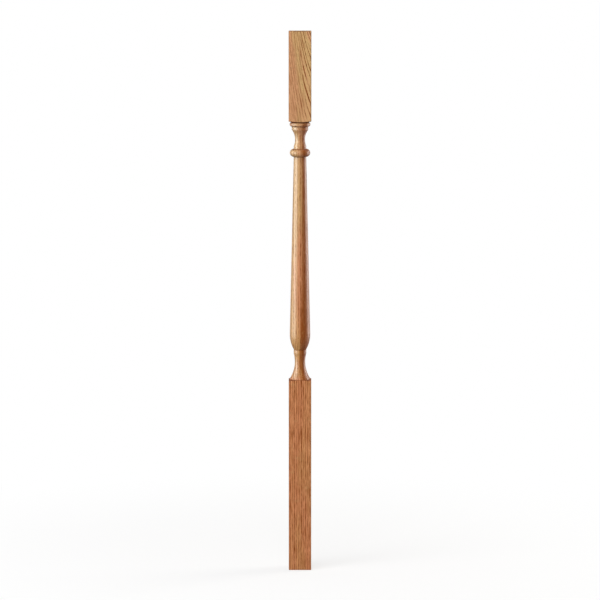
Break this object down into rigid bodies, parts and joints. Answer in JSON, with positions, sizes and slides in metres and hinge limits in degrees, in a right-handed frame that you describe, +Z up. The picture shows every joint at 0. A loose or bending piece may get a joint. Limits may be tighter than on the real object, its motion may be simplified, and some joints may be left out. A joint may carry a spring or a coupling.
{
  "type": "stair baluster",
  "caption": "Turned oak stair baluster with square ends, coves, beads and a long taper swelling to a vase, which stands between a tread or shoe rail and a handrail.",
  "frame": {"origin": "centre of the bottom end", "axes": "+Z up along the stick, towards the top end; X and Y square to the block faces"},
  "size_m": [0.0444, 0.0444, 1.0668],
  "materials": {
    "oak": "satin clear lacquer over open-grained oak"
  },
  "bodies": {
    "root": {"baluster": "oak"}
  },
  "joints": []
}
